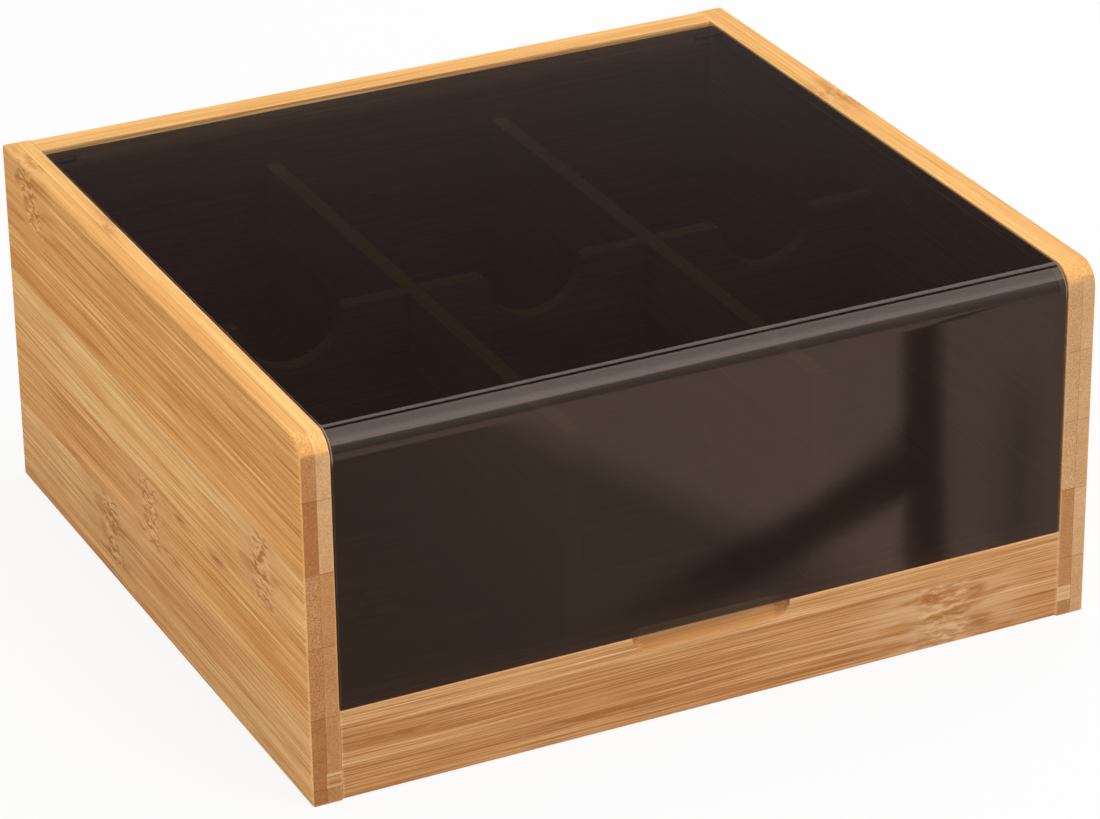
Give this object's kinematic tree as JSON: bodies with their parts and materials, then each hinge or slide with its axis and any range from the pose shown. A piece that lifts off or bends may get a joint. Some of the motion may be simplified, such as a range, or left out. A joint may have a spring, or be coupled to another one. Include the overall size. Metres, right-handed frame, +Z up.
{
  "type": "tea bag box",
  "caption": "Bamboo tea bag box with compartments, a low front rail with a finger scoop, and a smoked acrylic lid bent over the front and hinged at the back.",
  "frame": {"origin": "middle of the footprint, on the surface that the box stands on", "axes": "+X to the right seen from the front, +Y to the back, +Z up"},
  "size_m": [0.217, 0.2, 0.098],
  "materials": {
    "bamboo_panel": "satin lacquered two-ply laminated bamboo",
    "bamboo_divider": "satin laminated bamboo",
    "bamboo_plug": "satin pale bamboo",
    "smoked_acrylic": "polished transparent brown-black acrylic",
    "pin_steel": "bright drawn wire",
    "dowel_wood": "plain beech"
  },
  "bodies": {
    "box": {"left_side_panel": "bamboo_panel", "right_side_panel": "bamboo_panel", "back_panel": "bamboo_panel", "front_rail": "bamboo_panel", "bottom_panel": "bamboo_panel", "long_divider_left": "bamboo_divider", "long_divider_right": "bamboo_divider", "cross_divider": "bamboo_divider", "front_groove_plug_left": "bamboo_plug", "rear_groove_plug_left": "bamboo_plug", "back_dowel_left_1": "dowel_wood", "back_dowel_left_2": "dowel_wood", "back_dowel_left_3": "dowel_wood", "rail_dowel_left": "dowel_wood", "front_groove_plug_right": "bamboo_plug", "rear_groove_plug_right": "bamboo_plug", "back_dowel_right_1": "dowel_wood", "back_dowel_right_2": "dowel_wood", "back_dowel_right_3": "dowel_wood", "rail_dowel_right": "dowel_wood"},
    "lid": {"smoked_lid": "smoked_acrylic", "hinge_pin_left": "pin_steel", "hinge_pin_right": "pin_steel"}
  },
  "joints": [
    {"name": "lid_hinge", "type": "hinge", "parent": "box", "child": "lid", "pos_m": [0, 0.08625, 0.0963], "axis": [-1, 0, 0], "range_deg": [0, 145]}
  ]
}
